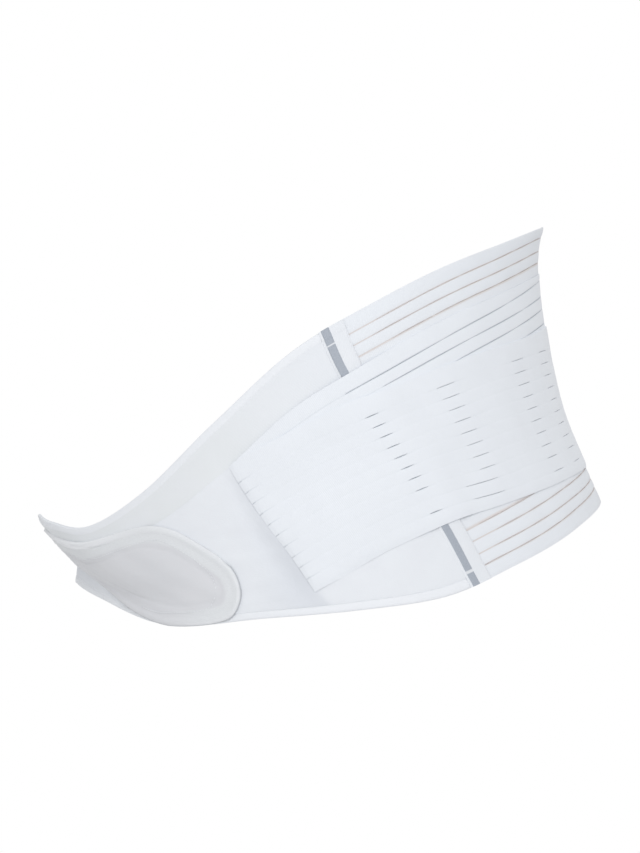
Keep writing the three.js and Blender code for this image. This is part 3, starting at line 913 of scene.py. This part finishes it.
def main_leaf(word, side):
    share, end, length = strap_columns()
    rows_at = STRAP_START + share * (end - STRAP_START)
    fan = along(leaf_fan, rows_at)
    sag = along(leaf_sag, rows_at)
    strap_height = (along(strap_high, rows_at) - along(strap_low, rows_at)) * height_at(rows_at)
    rows = [0 * share]
    gaps = [0 * share]
    openings = []
    shade_streaks = []
    for k, row in enumerate(leaf_rows):
        opening = 0 * share
        shade_streak = 0 * share
        for n, (place, half_length, amount) in enumerate(leaf_slits):
            if k == UNSLIT_ROW and n == ON_TAPE:
                continue
            is_long = k in LONG_ROWS and n == BEHIND_TAPE
            here = place + LONG_SHIFT * is_long
            reach = (LONGER if is_long else 1.0) * half_length * ROUND_PER_MM
            opening = np.maximum(opening, amount * lens(rows_at, here, reach))
            # Painted shade along the slit's line, fainter and longer than its open part
            shade_streak = np.maximum(shade_streak, SLIT_SHADE_STREAK * amount * lens(rows_at, here, SHADE_STREAK_REACH * reach))
        from_end = (end - rows_at) / ROUND_PER_MM
        tick = TICK_OPENING * smooth_step(*TICK_FROM_END, from_end)
        # Painted shade along the rows near the strap's front end
        shade_streak = np.maximum(shade_streak, SLIT_SHADE_STREAK * smooth_step(*SHADE_STREAK_FROM_END, from_end))
        openings.append(np.maximum(opening, tick))
        shade_streaks.append(shade_streak)
        gap = STRAP_CLOSED_SLIT + (STRAP_SLIT_OPENING - STRAP_CLOSED_SLIT) * np.maximum(opening, tick)
        rows.append(row * fan + sag)
        gaps.append(0.5 * gap / strap_height)
    top = np.minimum(along(leaf_edge, rows_at) * fan, 1)
    rows.append(top)
    gaps.append(0 * share)
    height, height_in, band_share, slit_cells = banded(rows, gaps)
    cut = slit_cut(openings, slit_cells, height, STRAP_OPEN_FROM)
    # Painted shade at the lip edges, where the slits open and along their painted streaks
    lip_shade = np.zeros_like(height)
    for opening, shade_streak, cell in zip(openings, shade_streaks, slit_cells):
        lip_shade[:, cell] = lip_shade[:, cell + 1] = np.maximum(opening, shade_streak)
    last_round = STRAP_LOW_END + (STRAP_TOP_END - STRAP_LOW_END) * height
    late = smooth_step(0.75, 1, share)[:, None]
    grid_round = STRAP_START + share[:, None] * (end + (last_round - end) * late - STRAP_START)
    low = along(strap_low, grid_round)
    across = low + (along(strap_high, grid_round) - low) * height
    grid_x = share[:, None] * length + 0 * height
    y = height * strap_height[:, None]
    lap = smooth_step(0.17, 0.07, top[:, None] - height) * (1 - smooth_step(0.56, 0.6, grid_round))
    base = strap_base(grid_round) + LEAF_LAP * lap
    sway = 0.28 * ripple(grid_x, y, 38, 2.2) + 0.15 * ripple(grid_x, y, 17, 0.3)
    base = base + STRAP_SWAY * sway * smooth_step(0, 8, y)
    from_edge = np.minimum(y, (1 - share[:, None]) * length)
    base = base - EDGE_SINK * smooth_step(6.0, 0.0, from_edge) * smooth_step(0.44, 0.5, grid_round)
    base = base + front_press(grid_round, across) * smooth_step(0.54, 0.58, grid_round)
    thin = 1 - EDGE_THIN * smooth_step(EDGE_WIDTH, 0.0, from_edge)
    outer = base + STRAP_WALL * thin + STRAP_PUFF * (puffed(band_share) - 0.4) * thin
    across_in = low + (along(strap_high, grid_round) - low) * height_in
    return cloth_object(
        f"side_strap_{word}_main_leaf", grid_round, across, base, outer, (grid_x, y), slit_elastic,
        cut, side, {"lip": lip_shade}, across_in,
    )


def upper_leaf(word, side):
    share, end, length = strap_columns()
    share = share[share < UPPER_LEAF_END]
    round_ = STRAP_START + share * (end - STRAP_START)
    x = share * length
    per_mm = 1 / height_at(round_)
    drift = smooth_step(-0.1, 0.45, round_)
    low = along(strap_low, round_)
    top = along(strap_high, round_)
    leaf_top = low + (top - low) * np.minimum(along(leaf_edge, round_) * along(leaf_fan, round_), 1)
    rows = [leaf_top - UPPER_LEAF_LAP * per_mm]
    gaps = [0 * share]
    openings = []
    for at_back, at_tape, first in upper_rows:
        last = first / ROUND_PER_MM - 0.5 * UPPER_SLIT_LENGTH
        nearest = last + np.round((x - last) / (UPPER_SLIT_LENGTH + 1)) * (UPPER_SLIT_LENGTH + 1)
        opening = np.sqrt(lens(x, nearest, 0.5 * UPPER_SLIT_LENGTH)) * (round_ < first)
        openings.append(opening)
        wanted = at_back + (at_tape - at_back) * drift
        rows.append(np.maximum(wanted, rows[-1] + LEAST_BAND * per_mm))
        if first > 0.45:
            opening = np.maximum(opening, 1.9 * lens(round_, first - 0.006, 4.2 * ROUND_PER_MM))
        gaps.append(0.5 * (STRAP_CLOSED_SLIT + (UPPER_SLIT_OPENING - STRAP_CLOSED_SLIT) * opening) * per_mm)
    rows.append(np.maximum(top, rows[-1] + LEAST_EDGE * per_mm))
    gaps.append(0 * share)
    across, across_in, band_share, slit_cells = banded(rows, gaps)
    cut = slit_cut(openings, slit_cells, across, STRAP_OPEN_FROM)
    # Painted shade along every slit of the upper leaf, at least 0.35 even where a slit stays closed
    lip_shade = np.zeros_like(across)
    for opening, cell in zip(openings, slit_cells):
        lip_shade[:, cell] = lip_shade[:, cell + 1] = np.clip(opening, 0.35, 1)
    grid_round = spread(round_, across)
    grid_x = spread(x, across)
    y = across / per_mm[:, None]
    base = strap_base(grid_round) - UPPER_LEAF_SINK
    outer = base + UPPER_LEAF_WALL + UPPER_LEAF_PUFF * (puffed(band_share) - 0.4)
    return cloth_object(
        f"side_strap_{word}_upper_leaf", grid_round, across, base, outer, (grid_x, y), slit_elastic,
        cut, side, {"lip": lip_shade}, across_in,
    )


for word, side, panel_end in sides:
    strap = main_leaf(word, side)
    upper = upper_leaf(word, side)
    for piece in (strap, upper):
        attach(piece, "root")
    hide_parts(f"side_strap_{word}")

# Closure tab
# A padded tab closes the belt in front: soft tricot over a thin foam, bound along its edge and sewn
# through once more further in, with a rounded near end. Hooks on its inner side hold it on the facing.
TAB_NEAR_END = 0.682
TAB_FAR_END = 1.19
TAB_FLOOR = 1.6
# Round the belt: where the tab's lower edge rolls under, and its near end. Across it: where the tab leaves
# the facing for the sheer knit, and meets the hem. In from its edge, in mm: where the fuzzy rim stops.
ROLLED_ROUND = (0.745, 0.80)
NEAR_END_ROUND = (0.80, 0.72)
SHEER_BEGINS = (0.775, 0.8)
HEM_BEGINS = (0.86, 0.92)
PANEL_SINK = 0.75
RIM_EDGE = (10.5, 8.5)
# The belt along its upper edge, in mm from that edge, and the ridges there: where round the belt they begin
# and how far in they stop. Further on the tab is drawn flatter.
UPPER_BELT = (12.0, 3.0)
RIDGES_ROUND = (0.76, 0.8)
RIDGES_STOP = (7.5, 9.5)
FLATTER_ROUND = (0.8, 0.93)
FLATTER = 0.72
# Width in mm of the painted shade along the tab's edge
EDGE_SHADE_WIDTH = 0.7
# How much weaker the lighter bound edge, partly painted highlight, is at the near end, and how much weaker
# the painted shade along the tab's edge is along the upper edge
LIP_WEAKER = 0.65
EDGE_SHADE_WEAKER = 0.85
TAB_WAVE = 0.3
TAB_WAVE_LENGTH = 34
TAB_EDGE_LIFT = 0.2
RIDGE_PITCH = 2.3
RIDGE_HEIGHT = 0.35
LIP_RISE = 0.45
LIP_WIDTH = 1.9
LIP_WIDER = 2.4
INNER_SEAM_PITCH = 2.2
INNER_SEAM_STITCH = 1.5
INNER_SEAM_THREAD = 0.4
INNER_SEAM = 12.2
INNER_SEAM_TOP = 3.75
# Round the belt: where the second seam stops along the upper and the lower edge
INNER_SEAM_ABOVE = 0.98
INNER_SEAM_BELOW = 0.84
SEAM_START = TAB_NEAR_END + 0.0005
SEAM_POINTS = 400
SEAM_SMOOTHING = 25
SEAM_TRIM = 14
# Lower and upper edge of the tab by round, as shares across the belt
tab_low = [
    (0.682, 0.37), (0.686, 0.31), (0.695, 0.215), (0.71, 0.115), (0.73, 0.028), (0.76, 0.0), (0.8, 0.0),
    (0.84, 0.07), (0.88, 0.2), (0.94, 0.3), (1.0, 0.33), (1.07, 0.28), (1.13, 0.13), (1.19, 0.05),
]
tab_high = [
    (0.682, 0.46), (0.686, 0.54), (0.695, 0.67), (0.71, 0.76), (0.73, 0.815), (0.76, 0.85), (0.8, 0.862),
    (0.84, 0.845), (0.88, 0.815), (0.94, 0.81), (1.0, 0.80), (1.07, 0.81), (1.13, 0.88), (1.19, 0.95),
]
# Height of the tab's outer face over its floor by the distance in from its edge, in mm
tab_profile = [
    (0.0, 0.8), (0.5, 1.5), (1.6, 2.0), (2.8, 2.1), (3.9, 1.95), (5.0, 1.75), (7.0, 1.8), (9.4, 2.0),
    (11.0, 2.02), (11.8, 1.9), (12.4, 1.62), (13.0, 1.95), (14.5, 2.25), (21.0, 3.0), (34.0, 3.6),
]

# Padded tricot: fine warp knit laminated on foam, warm light grey, matt and soft. The bound edge is lighter,
# partly as a lighter binding and partly as painted highlight, the rim inside it a little fuzzy, and a thin
# band along the edge is painted darker, as painted shade where the edge turns under.
TRICOT_PITCH = 0.8
padded_tricot, tree, shader, on_cloth = new_cloth("foam_backed_tricot")
courses = add_node(
    tree, "ShaderNodeTexWave", {"wave_type": "BANDS", "bands_direction": "X"},
    {"Scale": wave_scale(TRICOT_PITCH), "Distortion": 1.0, "Detail": 1.0},
    on_cloth,
)
grain = add_node(tree, "ShaderNodeTexNoise", None, {"Scale": 1.8, "Detail": 2.0}, on_cloth)
shade = add_node(tree, "ShaderNodeTexNoise", None, {"Scale": 0.03, "Detail": 2.0}, on_cloth)
relief = add_node(
    tree, "ShaderNodeMath", {"operation": "MULTIPLY_ADD"}, {1: 0.9},
    {0: grain.outputs["Fac"], 2: courses.outputs["Fac"]},
)
bump = add_node(
    tree, "ShaderNodeBump", None, {"Strength": 0.3, "Distance": 0.00012}, {"Height": relief.outputs[0]}
)
tricot = add_node(
    tree, "ShaderNodeMix", {"data_type": "RGBA"}, {6: linear("#dadce1"), 7: linear("#e2e3e7")},
    {0: shade.outputs["Fac"]},
)
fuzz = add_node(tree, "ShaderNodeTexNoise", None, {"Scale": 0.9, "Detail": 3.0}, on_cloth)
fuzzy = add_node(
    tree, "ShaderNodeMix", {"data_type": "RGBA"}, {6: linear("#dde0e4"), 7: linear("#ebeef1")},
    {0: fuzz.outputs["Fac"]},
)
rim = add_node(tree, "ShaderNodeAttribute", {"attribute_name": "fuzzy_rim"})
# The lighter bound edge, partly a lighter binding and partly painted highlight
bound = add_node(tree, "ShaderNodeAttribute", {"attribute_name": "binding_and_highlight"})
rim_and_pad = add_node(
    tree, "ShaderNodeMix", {"data_type": "RGBA"}, None,
    {0: rim.outputs["Fac"], 6: tricot.outputs[2], 7: fuzzy.outputs[2]},
)
edge_and_pad = add_node(
    tree, "ShaderNodeMix", {"data_type": "RGBA"}, {7: linear("#eff1f5")},
    {0: bound.outputs["Fac"], 6: rim_and_pad.outputs[2]},
)
# Painted shade in a thin band along the tab's edge
turned = add_node(tree, "ShaderNodeAttribute", {"attribute_name": "tab_edge_shade"})
whole_tab = add_node(
    tree, "ShaderNodeMix", {"data_type": "RGBA"}, {7: linear("#b9bdc2")},
    {0: turned.outputs["Fac"], 6: edge_and_pad.outputs[2]},
)
finish_cloth(tree, shader, whole_tab, bump, {
    "Roughness": 0.85, "Specular IOR Level": 0.3, "Sheen Weight": 0.3, "Sheen Roughness": 0.5,
})


def tab_edges(round_):
    """Lower and upper edge of the tab at places round the belt, as shares across it."""
    return np.maximum(along(tab_low, round_), 0), along(tab_high, round_)


def closure_tab():
    near = TAB_NEAR_END + 0.06 * np.linspace(0, 1, 26) ** 1.7
    far = np.linspace(near[-1], TAB_FAR_END, 96)[1:]
    round_ = np.concatenate([near, far])
    low, high = tab_edges(round_)
    shares = 0.5 - 0.5 * np.cos(np.linspace(0, math.pi, 61))
    shares = 0.5 * shares + 0.5 * np.linspace(0, 1, 61)
    across = low[:, None] + (high - low)[:, None] * shares
    grid_round = spread(round_, across)
    points = body_point(grid_round, across)
    fine = np.linspace(TAB_NEAR_END, TAB_FAR_END, 700)
    rounding = TAB_NEAR_END + 0.02 * np.linspace(0, 1, 120) ** 2
    fine = np.concatenate([rounding, fine[fine > TAB_NEAR_END + 0.02]])
    fine_low, fine_high = tab_edges(fine)
    end_low, end_high = tab_edges(np.array([TAB_NEAR_END, TAB_FAR_END]))
    ends = np.linspace(0, 1, 300)
    outline = np.concatenate([
        body_point(fine, fine_low), body_point(fine, fine_high),
        body_point(TAB_NEAR_END + 0 * ends, end_low[0] + (end_high - end_low)[0] * ends),
        body_point(TAB_FAR_END + 0 * ends, end_low[1] + (end_high - end_low)[1] * ends),
    ])
    flat_points = points.reshape(-1, 3)
    distance = np.full(len(flat_points), 1e9)
    for start in range(0, len(outline), 100):
        gap = np.linalg.norm(flat_points[:, None, :] - outline[None, start:start + 100, :], axis=-1)
        distance = np.minimum(distance, gap.min(axis=1))
    distance = distance.reshape(grid_round.shape)
    x = (grid_round - TAB_NEAR_END) / ROUND_PER_MM
    y = across * height_at(round_)[:, None]
    press = front_press(grid_round, across)
    sway = TAB_WAVE * ripple(x, y, TAB_WAVE_LENGTH, 1.7) * smooth_step(2, 14, distance) + press
    outer = TAB_FLOOR + along(tab_profile, distance) + sway
    fold = 1 - np.abs(1 - grid_round)
    rolled = smooth_step(*ROLLED_ROUND, fold) * (across < 0.5 * (low + high)[:, None])
    by_upper_edge = smooth_step(*UPPER_BELT, (high[:, None] - across) * height_at(round_)[:, None])
    lip_width = LIP_WIDTH + LIP_WIDER * by_upper_edge
    near_end = smooth_step(*NEAR_END_ROUND, fold)
    # lip: the lighter bound edge, partly a lighter binding and partly painted highlight: wider along the
    # upper edge, weaker at the near end, and gone where the lower edge rolls under
    lip = smooth_step(lip_width + 0.6, lip_width - 0.4, distance) * (1 - rolled) * (1 - LIP_WEAKER * near_end)
    # turned: painted shade in a thin band along the tab's edge, weaker along the upper edge
    turned = smooth_step(EDGE_SHADE_WIDTH, 0.0, distance) * (1 - EDGE_SHADE_WEAKER * by_upper_edge)
    rim = smooth_step(*RIM_EDGE, distance) * (1 - rolled)
    on_panel = smooth_step(*SHEER_BEGINS, across) - smooth_step(*HEM_BEGINS, across)
    floor_ = TAB_FLOOR - PANEL_SINK * on_panel
    flatter = 1 - FLATTER * by_upper_edge * smooth_step(*FLATTER_ROUND, fold)
    ridges = 0.5 - 0.5 * np.cos(distance * 2 * math.pi / RIDGE_PITCH)
    ridges = ridges * smooth_step(*RIDGES_ROUND, fold) * by_upper_edge
    ridges = ridges * (1 - smooth_step(*RIDGES_STOP, distance))
    outer = outer + RIDGE_HEIGHT * ridges
    outer = floor_ + (outer - press - TAB_FLOOR) * flatter + press
    outer = outer + LIP_RISE * lip * by_upper_edge * smooth_step(0.0, 1.0, distance)
    inner = floor_ + TAB_EDGE_LIFT * (distance < 0.5) + press
    return cloth_object(
        "closure_tab_pad", grid_round, across, inner, outer, (x, y), padded_tricot,
        marks={"binding_and_highlight": lip, "fuzzy_rim": rim, "tab_edge_shade": turned},
    )


def inner_seam():
    """Path of the tab's second seam, which follows its outline further in, round the near end."""
    above = np.linspace(INNER_SEAM_ABOVE, SEAM_START, 300)
    below = np.linspace(SEAM_START, INNER_SEAM_BELOW, 200)
    round_ = np.concatenate([above, below])
    across = np.concatenate([tab_edges(above)[1], tab_edges(below)[0]])
    flat = np.stack([round_ / ROUND_PER_MM, across * height_at(round_)], axis=-1)
    lengths = np.concatenate([[0], np.cumsum(np.linalg.norm(np.diff(flat, axis=0), axis=1))])
    even = np.linspace(0, lengths[-1], SEAM_POINTS)
    flat = np.stack([np.interp(even, lengths, flat[:, k]) for k in (0, 1)], axis=-1)
    smooth = np.ones(SEAM_SMOOTHING) / SEAM_SMOOTHING
    slope = np.gradient(flat, axis=0)
    slope = np.stack([np.convolve(slope[:, k], smooth, "same") for k in (0, 1)], axis=-1)
    slope /= np.linalg.norm(slope, axis=1, keepdims=True)
    inward = np.stack([-slope[:, 1], slope[:, 0]], axis=-1)
    seam = flat + INNER_SEAM * inward
    apart = np.linalg.norm(seam[:, None] - flat[None], axis=-1).min(axis=1)
    number = np.arange(SEAM_POINTS)
    inside = (number > SEAM_TRIM) & (number < SEAM_POINTS - SEAM_TRIM)
    seam = seam[(apart > 0.97 * INNER_SEAM) & inside]
    round_ = seam[:, 0] * ROUND_PER_MM
    across = seam[:, 1] / height_at(round_)
    return layer_point(round_, across, INNER_SEAM_TOP + front_press(round_, across))


tab = closure_tab()
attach(tab, "root")
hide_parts("closure_tab")
tab_stitches = stitched(
    "closure_tab_stitches", [inner_seam()], INNER_SEAM_PITCH, INNER_SEAM_STITCH, INNER_SEAM_THREAD
)

# Floor, light and camera
# A plain pale floor lies well below the belt, which a fitting form would hold up. A white surround and
# two broad soft lamps on the camera's side give the even light of a catalogue photograph.
FLOOR_LEVEL = -0.6
FLOOR_SIZE = 12.0
bpy.ops.mesh.primitive_plane_add(size=FLOOR_SIZE, location=(0, 0, FLOOR_LEVEL))
floor = bpy.context.object
floor.name = "floor"
floor_paint, tree, shader = new_material("pale_matt_floor")
shader.inputs["Base Color"].default_value = linear("#f2f2f2")
shader.inputs["Roughness"].default_value = 0.9
floor.data.materials.append(floor_paint)

SURROUND_ABOVE = 0.8
SURROUND_BELOW = 0.38
SURROUND_FRONT = 0.9
SURROUND_REAR = 1.0
world = bpy.data.worlds.new("white_surround")
bpy.context.scene.world = world
world.use_nodes = True
tree = world.node_tree
tree.nodes.clear()
ray = add_node(tree, "ShaderNodeLightPath")
direction = add_node(tree, "ShaderNodeTexCoord")
parts = add_node(tree, "ShaderNodeSeparateXYZ", None, None, {0: direction.outputs["Generated"]})
rise = add_node(
    tree, "ShaderNodeMapRange", None,
    {"From Min": -1.0, "From Max": 1.0, "To Min": SURROUND_BELOW, "To Max": SURROUND_ABOVE},
    {"Value": parts.outputs["Z"]},
)
from_front = add_node(
    tree, "ShaderNodeMapRange", None,
    {"From Min": -1.0, "From Max": 1.0, "To Min": SURROUND_FRONT, "To Max": SURROUND_REAR},
    {"Value": parts.outputs["Y"]},
)
strength = add_node(
    tree, "ShaderNodeMath", {"operation": "MULTIPLY"}, None,
    {0: rise.outputs["Result"], 1: from_front.outputs["Result"]},
)
seen = add_node(
    tree, "ShaderNodeMix", {"data_type": "FLOAT"}, {3: 1.0},
    {0: ray.outputs["Is Camera Ray"], 2: strength.outputs[0]},
)
surround = add_node(
    tree, "ShaderNodeBackground", None, {"Color": (1, 1, 1, 1)}, {"Strength": seen.outputs[0]}
)
add_node(tree, "ShaderNodeOutputWorld", None, None, {"Surface": surround.outputs[0]})


def lamp(name, place, power):
    """Square soft lamp that looks at the middle of the belt."""
    light = bpy.data.lights.new(name, "AREA")
    light.shape = "SQUARE"
    light.size = LAMP_SIZE
    light.energy = power
    obj = bpy.data.objects.new(name, light)
    bpy.context.scene.collection.objects.link(obj)
    obj.location = place
    direction = -np.array(place)
    yaw = math.atan2(direction[1], direction[0])
    fall = math.atan2(math.hypot(direction[0], direction[1]), -direction[2])
    obj.rotation_euler = (fall, 0, yaw - math.pi / 2)


LAMP_SIZE = 1.6
lamp("key_light", (2.7, 0.2, 1.5), power=28)
lamp("fill_light", (1.2, -2.6, 0.9), power=3)

CAMERA_DISTANCE = 10.0
CAMERA_RISE = math.radians(-0.2)
CAMERA_SIDE = math.radians(89.5)
AIM = (0.0, -0.0005, 0.0005)
FRAME_WIDTH = 0.388
SENSOR_WIDTH = 36.0
camera_data = bpy.data.cameras.new("camera")
camera_data.sensor_fit = "HORIZONTAL"
camera_data.sensor_width = SENSOR_WIDTH
camera_data.lens = SENSOR_WIDTH * CAMERA_DISTANCE / FRAME_WIDTH
camera_data.clip_end = 100
camera = bpy.data.objects.new("camera", camera_data)
bpy.context.scene.collection.objects.link(camera)
camera.location = (
    AIM[0] + CAMERA_DISTANCE * math.sin(CAMERA_SIDE) * math.cos(CAMERA_RISE),
    AIM[1] - CAMERA_DISTANCE * math.cos(CAMERA_SIDE) * math.cos(CAMERA_RISE),
    AIM[2] + CAMERA_DISTANCE * math.sin(CAMERA_RISE),
)
camera.rotation_euler = (math.pi / 2 - CAMERA_RISE, 0, CAMERA_SIDE)
bpy.context.scene.camera = camera
bpy.context.scene.view_settings.view_transform = "Standard"
